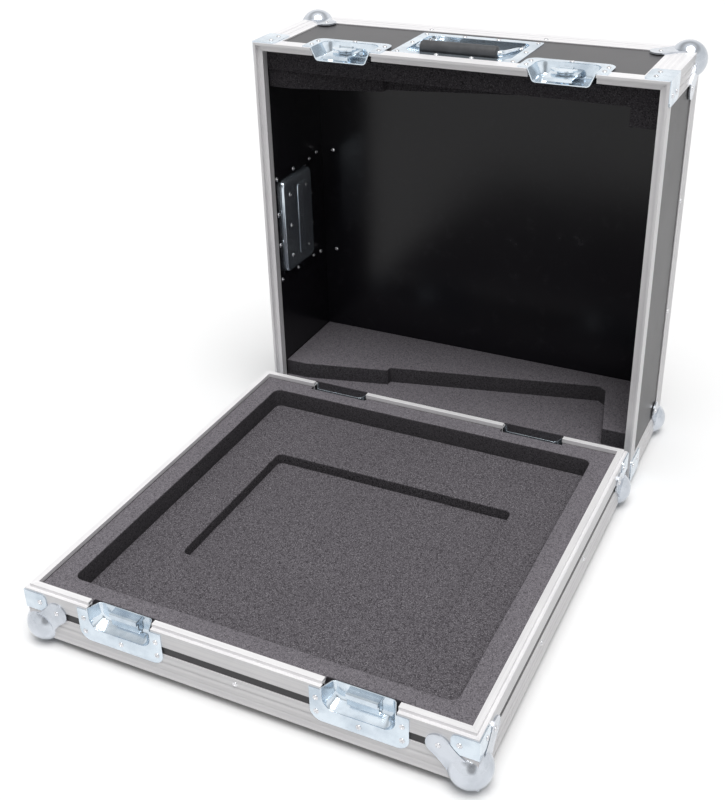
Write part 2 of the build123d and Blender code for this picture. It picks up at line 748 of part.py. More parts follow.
def handle_rivets(frame):
    """Ten rivets round a handle's flange, and the five of its brackets on the dish's back."""
    side_line = (handle_flange[0] + handle_mouth[0]) / 4
    end_line = (handle_flange[1] + handle_mouth[1]) / 4
    spots = [(direction * side_line, step * end_line) for direction in (-1, 1) for step in (-1, 0, 1)]
    spots += [(step * handle_rivet_spread, direction * end_line)
              for direction in (-1, 1) for step in (-1, 1)]
    back_spots = [(step * back_rivet_spread, -back_rivet_line) for step in (-1, 0, 1)]
    back_spots += [(step * back_rivet_spread, back_rivet_line) for step in (-1, 1)]
    back = -skin - handle_depth - dish_sheet
    heads = [rivet_at(frame, x, handle_back + y, dish_sheet - skin) for x, y in spots]
    return heads + [rivet_at(frame, x, handle_back + y, back, True) for x, y in back_spots]


def lobe_rivets(tray):
    """A rivet on each of the three lobes of the ball corners."""
    heads = []
    for face in (Plane.XY, Plane.YZ, Plane.ZX):
        spot = face.x_dir * lobe_centre + face.y_dir * lobe_centre - face.z_dir * corner_sheet
        outside = Plane(origin=spot, z_dir=face.z_dir * -1)
        heads += [rivet.part.moved(frame.location * outside.location)
                  for frame in corner_frames(tray, at_mouth=False)]
    return heads


def brace_rivets(tray, depths):
    """The rivets of the corner braces, on both of their legs."""
    heads = []
    for depth in depths:
        for spot, normal in (((brace_rivet_line, -brace_sheet, depth), (0, -1, 0)),
                             ((-brace_sheet, brace_rivet_line, depth), (-1, 0, 0))):
            outside = Plane(origin=spot, z_dir=normal)
            heads += [rivet.part.moved(frame.location * outside.location)
                      for frame in corner_frames(tray, at_mouth=True)]
    return heads


flange_end_of = {"base": catch_flange_end, "lid": latch_flange_end}
brace_rivet_depths = {"base": base_brace_rivets, "lid": lid_brace_rivets}
for tray, walls in walls_of.items():
    heads = lobe_rivets(tray) + brace_rivets(tray, brace_rivet_depths[tray])
    for side, frame in walls.items():
        single = tray == "base" and side in latched_walls
        bare = tray == "lid" and side not in latched_walls
        heads += edge_rivets(frame, tray, (0,) if single else (-1, 1), bare)
        if side in latched_walls:
            heads += dish_rivets(frame, tray, flange_end_of[tray])
        if tray == "lid" and side in handled_walls:
            heads += handle_rivets(frame)
    with BuildPart() as rivets:
        add(heads)
    save(rivets, f"{tray}_rivets")
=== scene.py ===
import json
import logging
import math
from dataclasses import dataclass, field
from enum import Enum
from typing import Iterable, Union

import bmesh
import bpy
import numpy as np
from mathutils import Matrix, Vector


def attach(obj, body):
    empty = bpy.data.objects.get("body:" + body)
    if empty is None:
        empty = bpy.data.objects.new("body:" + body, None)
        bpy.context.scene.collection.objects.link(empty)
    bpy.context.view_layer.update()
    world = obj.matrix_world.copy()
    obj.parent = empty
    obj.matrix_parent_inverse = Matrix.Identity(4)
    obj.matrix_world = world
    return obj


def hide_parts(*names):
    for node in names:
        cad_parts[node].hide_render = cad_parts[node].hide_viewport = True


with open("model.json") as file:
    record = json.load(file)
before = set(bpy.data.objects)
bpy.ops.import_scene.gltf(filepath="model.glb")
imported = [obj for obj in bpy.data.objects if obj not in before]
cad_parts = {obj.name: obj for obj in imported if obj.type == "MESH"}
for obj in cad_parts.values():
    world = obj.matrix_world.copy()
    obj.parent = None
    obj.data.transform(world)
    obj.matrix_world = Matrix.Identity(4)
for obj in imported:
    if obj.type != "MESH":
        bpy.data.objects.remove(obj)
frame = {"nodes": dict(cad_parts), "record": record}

log = logging.getLogger("mixer_flight_case")

# Lengths are in millimetres and angles in degrees, where no other unit is named.
MM = 0.001
SAME_PLACE = 1e-6  # metres between points that count as one
SMOOTH_BELOW = 35.0  # the angle between two faces that shade as one
SHARPEST_MITRE = 0.35  # the least divisor of a mitred step, so that no corner shoots out
CUT_WAVES = ((9, 1.0, 1), (23, 0.6, 2), (41, 0.4, 0))  # waves round a cut, height, delay
LATCH_SPREAD = 149.0  # from a wall's middle to the middle of each latch
NOTCH_HALF = 44.2  # half the width that a latch's dish takes from the foam
HANDLE_MIDDLE = 77.0  # from the lid's open edge to the middle of a handle's dish


class Axis(Enum):
    """The direction that an extrusion runs in, which its drawing marks follow."""

    X = 0
    Y = 1
    Z = 2


class Slot(Enum):
    """The record's material slots."""

    ALUMINIUM = "aluminium_extrusion"
    LAMINATE = "black_laminate"
    FOAM = "black_foam"
    GRIP = "grip_rubber"
    RIVET = "rivet_steel"
    SPRING = "spring_steel"
    ZINC = "zinc_plated_steel"


class Value:
    """A number socket. Arithmetic on it adds Math nodes to its graph."""

    def __init__(self, graph: "Graph", socket: bpy.types.NodeSocket) -> None:
        """Wraps one output socket of a graph."""
        self.graph = graph
        self.socket = socket

    def maths(self, operation: str, first: "Input", second: "Input" = 0.0) -> "Value":
        """Adds one Math node.

        Args:
            operation: Blender's name of the operation.
            first: the left value.
            second: the right value.

        Returns:
            The node's result.
        """
        return self.graph.add("ShaderNodeMath", {"operation": operation}, {0: first, 1: second})

    def __add__(self, other: "Input") -> "Value":
        """This value plus another."""
        return self.maths("ADD", self, other)

    def __sub__(self, other: "Input") -> "Value":
        """This value minus another."""
        return self.maths("SUBTRACT", self, other)

    def __rsub__(self, other: "Input") -> "Value":
        """Another value minus this one."""
        return self.maths("SUBTRACT", other, self)

    def __mul__(self, other: "Input") -> "Value":
        """This value times another."""
        return self.maths("MULTIPLY", self, other)

    def __truediv__(self, other: "Input") -> "Value":
        """This value divided by another."""
        return self.maths("DIVIDE", self, other)

    def __rtruediv__(self, other: "Input") -> "Value":
        """Another value divided by this one."""
        return self.maths("DIVIDE", other, self)

    __radd__ = __add__
    __rmul__ = __mul__

    def above(self, edge: float) -> "Value":
        """1 where this value is over an edge, else 0."""
        return self.maths("GREATER_THAN", self, edge)

    def larger(self, other: "Input") -> "Value":
        """The larger of this value and another."""
        return self.maths("MAXIMUM", self, other)

    def parts(self) -> list:
        """The three parts of this vector."""
        return [self.graph.add("ShaderNodeSeparateXYZ", {}, {0: self}, k) for k in range(3)]

    def sizes(self) -> list:
        """The three parts of this vector, each without its sign."""
        return [part.maths("ABSOLUTE", part) for part in self.parts()]

    def between(self, low: float, high: float) -> "Value":
        """This value stretched so that low gives 0 and high gives 1, and held there."""
        return self.graph.add("ShaderNodeMapRange", {"clamp": True}, {0: self, 1: low, 2: high})


Input = Union[Value, float, tuple, None]


@dataclass(frozen=True)
class Pattern:
    """Fractal noise: cells per metre, detail, roughness, and the span stretched to 0 to 1."""

    scale: float
    detail: float = 2.0
    rough: float = 0.5
    span: tuple = ()


class Graph:
    """A node tree that is filled by expressions."""

    def __init__(self, tree: bpy.types.NodeTree) -> None:
        """Starts with an empty tree."""
        self.tree = tree
        tree.nodes.clear()

    def add(
        self, kind: str, settings: dict, inputs: dict, output: Union[int, str, None] = 0
    ) -> "Value":
        """Adds a node.

        Args:
            kind: the node's type.
            settings: its properties, set first; "stops" sets a ramp's places and colours.
            inputs: values or links, by the name or number of the socket.
            output: the socket that is wanted, or None.

        Returns:
            The wanted output.
        """
        node = self.tree.nodes.new(kind)
        for name, value in settings.items():
            if name == "stops":
                bar = node.color_ramp.elements
                while len(bar) < len(value):
                    bar.new(1.0)
                for stop, (position, height) in zip(bar, value):
                    stop.position, stop.color = position, (height, height, height, 1.0)
            else:
                setattr(node, name, value)
        for key, value in inputs.items():
            if isinstance(value, Value):
                self.tree.links.new(value.socket, node.inputs[key])
            elif value is not None:
                node.inputs[key].default_value = value
        return None if output is None else Value(self, node.outputs[output])

    def place(self, scale: tuple = (1.0, 1.0, 1.0), turn: tuple = (0.0, 0.0, 0.0)) -> Value:
        """Object coordinates in metres, stretched by a scale and then turned."""
        here = self.add("ShaderNodeTexCoord", {}, {}, "Object")
        return self.add("ShaderNodeMapping", {}, {
            "Vector": here, "Scale": scale, "Rotation": turn})

    def noise(self, place: Value, pattern: Pattern) -> Value:
        """A pattern's noise at a place, from 0 to 1."""
        found = self.add("ShaderNodeTexNoise", {}, {
            "Vector": place, "Scale": pattern.scale, "Detail": pattern.detail,
            "Roughness": pattern.rough}, "Fac")
        return found.between(*pattern.span) if pattern.span else found

    def ramp(self, share: Value, stops: tuple) -> Value:
        """A value that runs through stops, each a place and a height."""
        return self.add("ShaderNodeValToRGB", {"stops": stops}, {0: share})

    def mix(self, share: Input, first: Input, second: Input) -> Value:
        """A colour between two colours."""
        return self.add("ShaderNodeMix", {"data_type": "RGBA"}, {0: share, 6: first, 7: second}, 2)

    def bump(self, height: Value, relief: tuple) -> Value:
        """A normal that is tilted by a height, with a distance in metres and a strength."""
        return self.add("ShaderNodeBump", {}, {
            "Height": height, "Distance": relief[0], "Strength": relief[1]}, "Normal")

    def surface(self, inputs: dict) -> None:
        """Ends the graph in one shader with these inputs."""
        shader = self.add("ShaderNodeBsdfPrincipled", {}, inputs)
        self.tree.links.new(
            shader.socket, self.tree.nodes.new("ShaderNodeOutputMaterial").inputs["Surface"])


def colour(red: float, green: float, blue: float) -> tuple:
    """A linear colour with full alpha."""
    return (red, green, blue, 1.0)


@dataclass(frozen=True)
class Finish:
    """A material of the case. Each kind fills its own graph."""

    name: str

    def material(self) -> bpy.types.Material:
        """Makes the Blender material, once.

        Returns:
            The material of this name.
        """
        made = bpy.data.materials.get(self.name)
        if made is None:
            made = bpy.data.materials.new(self.name)
            made.use_nodes = True
            self.paint(Graph(made.node_tree))
        return made

    def paint(self, graph: Graph) -> None:
        """Fills the graph.

        Args:
            graph: an empty one.
        """
        raise NotImplementedError


@dataclass(frozen=True)
class Laminate(Finish):
    """Black phenolic film on plywood: deep and glossy inside, and outside a greyer tone, which is
    painted sheen.

    A point is outside where it leaves the box that the panels' outer faces stand round.
    """

    middle: tuple = (0.0, 0.0, 0.0)
    half: tuple = (1.0, 1.0, 1.0)
    deep: tuple = colour(0.009, 0.0085, 0.011)
    deep_worn: tuple = colour(0.016, 0.0155, 0.019)
    # The outer tones are painted sheen: the black film is drawn greyer on its outer faces, where it
    # catches light.
    outer_sheen: tuple = colour(0.062, 0.060, 0.064)
    outer_sheen_worn: tuple = colour(0.088, 0.086, 0.090)
    clouds: Pattern = Pattern(9.0, 3.0)
    grain: Pattern = Pattern(900.0, 1.0)
    rubs: Pattern = Pattern(38.0, 5.0, 0.65, (0.56, 0.78))
    rub_share: float = 0.6
    cloud_height: float = 0.4
    gloss: float = 0.17
    dulling: tuple = (0.10, 0.06, 0.16)
    specular: float = 0.30
    relief: tuple = (0.00004, 0.5)

    def outside(self, graph: Graph) -> Value:
        """Marks the outer faces.

        Args:
            graph: the material's.

        Returns:
            1 on an outer face, else 0.
        """
        moved = graph.add("ShaderNodeMapping", {}, {
            "Vector": graph.place(), "Location": tuple(-m * MM for m in self.middle)})
        reach = [size / (half * MM) for size, half in zip(moved.sizes(), self.half)]
        return reach[0].larger(reach[1]).larger(reach[2]).above(1.0)

    def paint(self, graph: Graph) -> None:
        """Cloudy gloss over a fine pressed grain, with a few dull rubbed spots.

        Args:
            graph: an empty one.
        """
        here = graph.place()
        cloud = graph.noise(here, self.clouds)
        grain = graph.noise(here, self.grain)
        rubbed = graph.noise(here, self.rubs)
        outside = self.outside(graph)
        worn = rubbed * self.rub_share + cloud * (1 - self.rub_share)
        inner = graph.mix(rubbed, self.deep, self.deep_worn)
        # Painted sheen: the outer faces take the greyer tones.
        outer = graph.mix(worn, self.outer_sheen, self.outer_sheen_worn)
        by_cloud, by_rub, by_outside = self.dulling
        graph.surface({
            "Base Color": graph.mix(outside, inner, outer),
            "Roughness": self.gloss + cloud * by_cloud + rubbed * by_rub + outside * by_outside,
            "Specular IOR Level": self.specular,
            "Normal": graph.bump(grain + cloud * self.cloud_height, self.relief),
        })


@dataclass(frozen=True)
class Aluminium(Finish):
    """Mill-finished extrusion with drawing marks along its length, and flutes on its faces, painted
    darker in their hollows as shade and lighter on their crests as highlight.

    Its pale oxide skin scatters light, so it is only partly as bright a metal as bare stock.
    """

    run: Axis = Axis.X
    fluted: bool = False
    base: tuple = colour(0.92, 0.91, 0.915)
    dull: tuple = colour(0.79, 0.78, 0.795)
    bare: float = 0.22
    flute: float = 8.3
    flute_depth: float = 0.35
    stretch: tuple = (420.0, 2.5)
    streaks: Pattern = Pattern(1.0, 3.0, 0.6)
    stains: Pattern = Pattern(14.0, 4.0, 0.6)
    scuffs: Pattern = Pattern(160.0, 3.0, 0.7, (0.62, 0.74))
    streak_share: float = 0.55
    shade_span: tuple = (0.36, 0.66)
    # The flutes' share of the colour, which is painted shade in the hollows and painted highlight
    # on the crests.
    flute_shade_share: float = 0.5
    streak_height: float = 0.1
    gloss: float = 0.32
    dulling: tuple = (0.16, 0.08)
    relief: tuple = (0.0003, 0.6)

    def flutes(self, graph: Graph) -> Value:
        """Works out the flutes: a cosine of the distance across each flat face.

        Across a face runs the axis that is neither the extrusion's own nor the face's normal.

        Args:
            graph: the material's.

        Returns:
            1 on a crest and 0 in a hollow.
        """
        normal = graph.add("ShaderNodeNewGeometry", {}, {}, "Normal").sizes()
        here = graph.place().parts()
        first, second = [axis.value for axis in Axis if axis is not self.run]
        wave = []
        for across in (first, second):
            angle = here[across] * (2 * math.pi / (self.flute * MM))
            wave.append(angle.maths("COSINE", angle) * 0.5 + 0.5)
        facing = normal[first].above(0.5)
        return wave[0] * (1 - facing) + wave[1] * facing

    def paint(self, graph: Graph) -> None:
        """Long thin streaks along the extrusion, with soft stains and small scuffs.

        Args:
            graph: an empty one.
        """
        across, along = self.stretch
        scale = tuple(along if axis is self.run else across for axis in Axis)
        streaks = graph.noise(graph.place(scale), self.streaks)
        stains = graph.noise(graph.place(), self.stains)
        scuffs = graph.noise(graph.place(), self.scuffs)
        shade = streaks * self.streak_share + stains * (1 - self.streak_share)
        shade = shade.between(*self.shade_span)
        height = streaks * self.streak_height
        if self.fluted:
            flutes = self.flutes(graph)
            # The flutes also paint shade into the colour: darker in each hollow, lighter on each
            # crest.
            shade = shade * (1 - self.flute_shade_share) + flutes * self.flute_shade_share
            height = height + flutes * (self.flute_depth * MM / self.relief[0])
        by_streak, by_scuff = self.dulling
        graph.surface({
            "Base Color": graph.mix(shade, self.dull, self.base),
            "Metallic": self.bare,
            "Roughness": self.gloss + streaks * by_streak + scuffs * by_scuff,
            "Normal": graph.bump(height, self.relief),
        })


@dataclass(frozen=True)
class Worn(Finish):
    """A finish of two tones: wear shades and dulls it, and a grain dulls and roughens it."""

    base: tuple
    worn: tuple
    gloss: float
    wear: Pattern
    grain: Pattern
    dulling: tuple
    bare: float = 1.0
    wear_height: float = 0.0
    relief: tuple = (0.00004, 0.4)

    def paint(self, graph: Graph) -> None:
        """Mixes the tones by wear, and adds what wear and grain do to gloss and height.

        Args:
            graph: an empty one.
        """
        here = graph.place()
        wear = graph.noise(here, self.wear)
        grain = graph.noise(here, self.grain)
        by_wear, by_grain = self.dulling
        graph.surface({
            "Base Color": graph.mix(wear, self.base, self.worn),
            "Metallic": self.bare,
            "Roughness": self.gloss + wear * by_wear + grain * by_grain,
            "Normal": graph.bump(grain + wear * self.wear_height, self.relief),
        })


@dataclass(frozen=True)
class ZincPlate(Worn):
    """Bright zinc plate with a blue passivation, cloudy from handling and finely specked."""

    base: tuple = colour(0.77, 0.85, 0.92)
    worn: tuple = colour(0.54, 0.62, 0.70)
    gloss: float = 0.09
    bare: float = 0.88
    wear: Pattern = Pattern(26.0, 4.0, 0.6, (0.40, 0.66))
    grain: Pattern = Pattern(520.0)
    dulling: tuple = (0.07, 0.05)
    wear_height: float = 2.0
    relief: tuple = (0.00003, 0.5)


@dataclass(frozen=True)
class BrightSteel(Worn):
    """Polished or nickel-plated steel of rivets, rods and springs, with small dull flecks."""

    base: tuple = colour(0.74, 0.74, 0.76)
    worn: tuple = colour(0.44, 0.45, 0.47)
    gloss: float = 0.16
    wear: Pattern = Pattern(240.0, 3.0, 0.6, (0.50, 0.72))
    grain: Pattern = Pattern(240.0, 3.0, 0.6, (0.50, 0.72))
    dulling: tuple = (0.18, 0.0)


@dataclass(frozen=True)
class GripRubber(Worn):
    """Moulded rubber of the handle grips, matt and grained, paler where hands rub it."""

    base: tuple = colour(0.045, 0.046, 0.050)
    worn: tuple = colour(0.075, 0.077, 0.082)
    gloss: float = 0.46
    bare: float = 0.0
    wear: Pattern = Pattern(45.0, 3.0, span=(0.42, 0.7))
    grain: Pattern = Pattern(1400.0)
    dulling: tuple = (0.0, 0.14)
    relief: tuple = (0.00012, 0.6)


@dataclass(frozen=True)
class CutFoam(Finish):
    """Charcoal polyethylene foam: sheet faces with small open cells, painted shade in some cells
    and painted glints on others, and painted shade on its upright sides.
    """

    base: tuple = colour(0.118, 0.109, 0.121)
    # The pit tone is painted shade in the open cells; the glint tone is a painted highlight.
    shaded_pit: tuple = colour(0.030, 0.027, 0.031)
    glint: tuple = colour(0.38, 0.365, 0.385)
    # Upright faces keep this share of the tone, as painted shade.
    cut: float = 0.50
    turn: tuple = (0.6, 0.4, 0.8)
    cells: Pattern = Pattern(720.0, 2.0, 0.7)
    coarse: Pattern = Pattern(300.0, 2.0, 0.6)
    clouds: Pattern = Pattern(7.0, 3.0)
    flat_span: tuple = (0.5, 0.9)
    cell_share: float = 0.6
    pit_span: tuple = (0.53, 0.38)
    pit_shade_strength: float = 0.9
    glint_span: tuple = (0.57, 0.66)
    glint_share: tuple = (0.30, 0.45)
    coarse_height: float = 0.6
    dulling: tuple = (0.93, 0.12)
    specular: float = 0.12
    relief: tuple = (0.00055, 0.75)

    def paint(self, graph: Graph) -> None:
        """Open cells about a millimetre wide, some with painted shade and some with a painted
        glint, over soft clouds.

        The noise is turned, since it is weaker in the planes of its own lattice.

        Args:
            graph: an empty one.
        """
        here = graph.place(turn=self.turn)
        cells = graph.noise(here, self.cells)
        coarse = graph.noise(here, self.coarse)
        cloud = graph.noise(here, self.clouds)
        upward = graph.add("ShaderNodeNewGeometry", {}, {}, "Normal").sizes()[2]
        flat = upward.between(*self.flat_span)
        pits = (cells * self.cell_share + coarse * (1 - self.cell_share)).between(*self.pit_span)
        glints = cells.between(*self.glint_span)
        least, by_cloud = self.glint_share
        # Painted shade in the pits, then painted glints on the cell walls.
        tone = graph.mix(pits * self.pit_shade_strength, self.base, self.shaded_pit)
        tone = graph.mix(glints * (least + cloud * by_cloud), tone, self.glint)
        # Painted shade: faces that stand upright are darker than flat ones.
        tone = graph.mix(flat * (1 - self.cut) + self.cut, colour(0.0, 0.0, 0.0), tone)
        matt, by_glint = self.dulling
        graph.surface({
            "Base Color": tone,
            "Roughness": matt - glints * by_glint,
            "Specular IOR Level": self.specular,
            "Normal": graph.bump(cells + coarse * self.coarse_height, self.relief),
        })


BASE_LAMINATE = Laminate("laminate_base", (0.0, 0.0, 33.0), (275.5, 275.5, 30.0))
LID_LAMINATE = Laminate("laminate_lid", (0.0, 392.5, 278.5), (275.5, 84.5, 275.5))
ZINC = ZincPlate("zinc_plate")
BALL_ZINC = ZincPlate(
    "zinc_plate_ball", colour(0.68, 0.715, 0.77), colour(0.48, 0.515, 0.565), 0.07)
RIVET_STEEL = BrightSteel("rivet_steel_bright")
ROD_STEEL = BrightSteel("rod_steel", colour(0.74, 0.75, 0.76), colour(0.5, 0.51, 0.53))
SPRING_WIRE = BrightSteel("spring_wire", colour(0.56, 0.565, 0.58), colour(0.34, 0.35, 0.37))
RUBBER = GripRubber("grip_rubber_moulded")
FOAM = CutFoam("foam_cut")
# A lighter, lit copy of the foam: painted light, for the base's rim and the lid's rear foam.
LIT_FOAM = CutFoam("foam_cut_lit", colour(0.172, 0.160, 0.177), colour(0.075, 0.069, 0.077),
                   colour(0.36, 0.345, 0.365), 0.36)
PLAIN_ALUMINIUM = {
    axis: Aluminium(f"aluminium_along_{axis.name.lower()}", axis) for axis in Axis}
FLUTED_ALUMINIUM = {
    axis: Aluminium(f"aluminium_fluted_{axis.name.lower()}", axis, True) for axis in Axis}


def linked(name: str, data: bpy.types.ID) -> bpy.types.Object:
    """Puts a new object in the scene.

    Args:
        name: its name.
        data: the mesh, lamp or camera that it carries.

    Returns:
        The object.
    """
    made = bpy.data.objects.new(name, data)
    bpy.context.scene.collection.objects.link(made)
    return made


def make_piece(
    name: str,
    points: np.ndarray,
    faces: list,
    finish: Finish,
    body: str,
    merged: bool = True,
) -> bpy.types.Object:
    """Makes a piece of the case from points in millimetres, smooth where it bends little.

    Args:
        name: the piece's name.
        points: one row for each vertex, in the frame of the case.
        faces: vertex numbers of each face.
        finish: its material.
        body: the body that it rides on.
        merged: whether points in one place become one, as at the pole of a turned form.

    Returns:
        The new object.
    """
    mesh = bpy.data.meshes.new(name)
    mesh.from_pydata(np.asarray(points, float) * MM, [], faces)
    mesh.materials.append(finish.material())
    work = bmesh.new()
    work.from_mesh(mesh)
    if merged:
        bmesh.ops.remove_doubles(work, verts=work.verts, dist=SAME_PLACE)
    bmesh.ops.recalc_face_normals(work, faces=work.faces)
    work.to_mesh(mesh)
    work.free()
    piece = linked(name, mesh)
    mesh.shade_smooth()
    mesh.set_sharp_from_angle(angle=math.radians(SMOOTH_BELOW))
    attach(piece, body)
    log.info("%s: %d faces on %s", name, len(mesh.polygons), body)
    return piece


def grid_faces(rows: int, columns: int, first: int = 0, closed: bool = True) -> np.ndarray:
    """Quads between the rows of a grid of vertices.

    Args:
        rows: how many rows of vertices.
        columns: how many vertices in a row.
        first: the number of the first vertex.
        closed: whether each row closes on itself.

    Returns:
        Four vertex numbers for each quad.
    """
    across = np.arange(columns if closed else columns - 1)
    row = np.arange(rows - 1)[:, None] * columns
    after = (across + 1) % columns
    below = row + columns
    quads = np.stack([row + across, row + after, below + after, below + across], -1)
    return quads.reshape(-1, 4) + first


@dataclass(frozen=True)
class WallFrame:
    """A frame on a wall's outer face: along it, away from its open edge, and outwards."""

    origin: tuple
    along: tuple
    depth: tuple
    outward: tuple

    def place(self, points: np.ndarray) -> np.ndarray:
        """Points of this frame in the frame of the case, in millimetres."""
        axes = np.array([self.along, self.depth, self.outward], float)
        return np.array(self.origin, float) + np.asarray(points, float) @ axes


FLOOR_FRAME = WallFrame((0, 0, 0), (1, 0, 0), (0, 1, 0), (0, 0, 1))
LID_FRONT = WallFrame((0, 304.0, 558.5), (1, 0, 0), (0, 1, 0), (0, 0, 1))
LID_REAR = WallFrame((0, 304.0, -1.5), (-1, 0, 0), (0, 1, 0), (0, 0, -1))
LID_LEFT = WallFrame((-280.0, 304.0, 278.5), (0, 0, 1), (0, 1, 0), (-1, 0, 0))


def rounded_rectangle(width: float, depth: float, radius: float, steps: int = 8) -> np.ndarray:
    """A closed anticlockwise outline whose corners are quarter circles.

    Args:
        width: size along the first axis.
        depth: size along the second axis.
        radius: of its corners.
        steps: points in each corner.

    Returns:
        One row for each point.
    """
    turn = np.linspace(0, math.pi / 2, steps)
    corners = []
    for quarter, (across, up) in enumerate(((1, 1), (-1, 1), (-1, -1), (1, -1))):
        angle = turn + quarter * math.pi / 2
        middle = np.array([across * (width / 2 - radius), up * (depth / 2 - radius)])
        corners.append(middle + radius * np.stack([np.cos(angle), np.sin(angle)], -1))
    return np.concatenate(corners)


def fine(outline: np.ndarray, step: float = 7.0) -> np.ndarray:
    """Divides each edge of a closed outline evenly, its corners kept.

    Args:
        outline: one row for each point.
        step: the widest gap that is left.

    Returns:
        The outline with more points.
    """
    ends = np.roll(outline, -1, axis=0)
    counts = np.maximum(1, np.ceil(np.linalg.norm(ends - outline, axis=1) / step)).astype(int)
    which = np.repeat(np.arange(len(outline)), counts)
    steps = np.arange(counts.sum()) - np.repeat(np.cumsum(counts) - counts, counts)
    share = steps / counts[which]
    return outline[which] + (ends - outline)[which] * share[:, None]


def inwards(outline: np.ndarray) -> np.ndarray:
    """Finds the mitred step to the left of each point of a closed outline.

    Args:
        outline: one row for each point.

    Returns:
        A step for each point that moves its edges by one unit.
    """
    edge = np.roll(outline, -1, axis=0) - outline
    edge /= np.linalg.norm(edge, axis=1)[:, None]
    left = np.stack([-edge[:, 1], edge[:, 0]], -1)
    before = np.roll(left, 1, axis=0)
    return (left + before) / (1 + (left * before).sum(1))[:, None].clip(SHARPEST_MITRE)


def wavered(outline: np.ndarray, amount: float, phase: float) -> np.ndarray:
    """A cut outline that wanders: a sum of sines of the distance along it, into the foam.

    Args:
        outline: one row for each point.
        amount: the furthest step.
        phase: where the sines start.

    Returns:
        The moved outline.
    """
    step = np.linalg.norm(np.roll(outline, -1, axis=0) - outline, axis=1)
    way = np.concatenate([[0.0], np.cumsum(step)[:-1]]) * 2 * math.pi / step.sum()
    wave = sum(high * np.sin(count * way + late * phase) for count, high, late in CUT_WAVES)
    reach = sum(high for _, high, _ in CUT_WAVES)
    return outline + inwards(outline) * ((wave + reach) / (2 * reach) * amount)[:, None]


@dataclass
class Layer:
    """A flat slice of foam or sheet: an outline with holes, between two heights.

    Holes run clockwise, so that the stuff is on the left of every outline. Either face's rim
    may be rounded.
    """

    outline: np.ndarray
    low: float
    high: float
    holes: list = field(default_factory=list)
    round_low: float = 0.0
    round_high: float = 0.0
    steps: int = 4

    def profile(self) -> list:
        """Runs up the slice's side, from the lower face round to the upper one.

        Returns:
            Pairs of a step into the foam and a height.
        """
        turn = np.linspace(0, math.pi / 2, self.steps)
        rise, fall = self.round_low, self.round_high
        lower = [(rise * (1 - math.sin(t)), self.low + rise * (1 - math.cos(t))) for t in turn]
        upper = [(fall * (1 - math.cos(t)), self.high - fall * (1 - math.sin(t))) for t in turn]
        return (lower if rise else [(0.0, self.low)]) + (upper if fall else [(0.0, self.high)])

    def shell(self, first: int) -> tuple:
        """The closed surface of the slice.

        Its sides carry the profile along each outline, and both flat faces are filled with
        triangles between the outlines.

        Args:
            first: the number of its first vertex.

        Returns:
            The points and the faces.
        """
        profile = self.profile()
        points, faces, rims = [], [], ([], [])
        count = first
        for loop in [self.outline, *self.holes]:
            step = inwards(loop)
            rows = [np.column_stack([loop + step * inset, np.full(len(loop), height)])
                    for inset, height in profile]
            points.append(np.concatenate(rows))
            faces += grid_faces(len(rows), len(loop), count).tolist()
            rims[0].append(np.arange(count, count + len(loop)))
            rims[1].append(np.arange(count, count + len(loop)) + (len(rows) - 1) * len(loop))
            count += len(rows) * len(loop)
        points = np.concatenate(points)
        for rim in rims:
            faces += self.cap(points, rim, first)
        return points, faces

    def cap(self, points: np.ndarray, rim: list, first: int) -> list:
        """Fills a flat face between its outlines.

        Args:
            points: the slice's points.
            rim: the vertex numbers of each outline of the face.
            first: the number of the slice's first vertex.

        Returns:
            The triangles.
        """
        work = bmesh.new()
        numbers = np.concatenate(rim)
        corners = [work.verts.new(points[n - first]) for n in numbers]
        work.verts.index_update()
        start, edges = 0, []
        for loop in rim:
            for k in range(len(loop)):
                edges.append(work.edges.new(
                    (corners[start + k], corners[start + (k + 1) % len(loop)])))
            start += len(loop)
        bmesh.ops.triangle_fill(work, use_beauty=True, edges=edges, normal=(0, 0, 1))
        work.verts.index_update()
        filled = [[int(numbers[v.index]) for v in face.verts] for face in work.faces]
        work.free()
        return filled


def make_layers(
    name: str, wall: WallFrame, layers: list, finish: Finish, body: str, foam: str = ""
) -> bpy.types.Object:
    """Makes a piece of one or more slices: foam that stands for a CAD node, or plated sheet.

    Args:
        name: the piece's name.
        wall: the frame that its layers lie in.
        layers: its slices.
        finish: its material.
        body: the body that it rides on.
        foam: the foam node that it stands for, or none.

    Returns:
        The new object.
    """
    points, faces = [], []
    for layer in layers:
        shell_points, shell_faces = layer.shell(sum(len(p) for p in points))
        points.append(shell_points)
        faces += shell_faces
    points = wall.place(np.concatenate(points))
    piece = make_piece(name, points, faces, finish, body, merged=False)
    if foam:
        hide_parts(foam)
    return piece


def notched(half: float, level: float, floor: float) -> list:
    """Runs along a wall's edge from its left end, round a square notch at each latch.

    Args:
        half: half of the edge's length.
        level: the edge's own level.
        floor: the notches' level.

    Returns:
        The points.
    """
    edge = [(-half, level)]
    for place in (-LATCH_SPREAD, LATCH_SPREAD):
        near, far = place - NOTCH_HALF, place + NOTCH_HALF
        edge += [(near, level), (near, floor), (far, floor), (far, level)]
    return edge


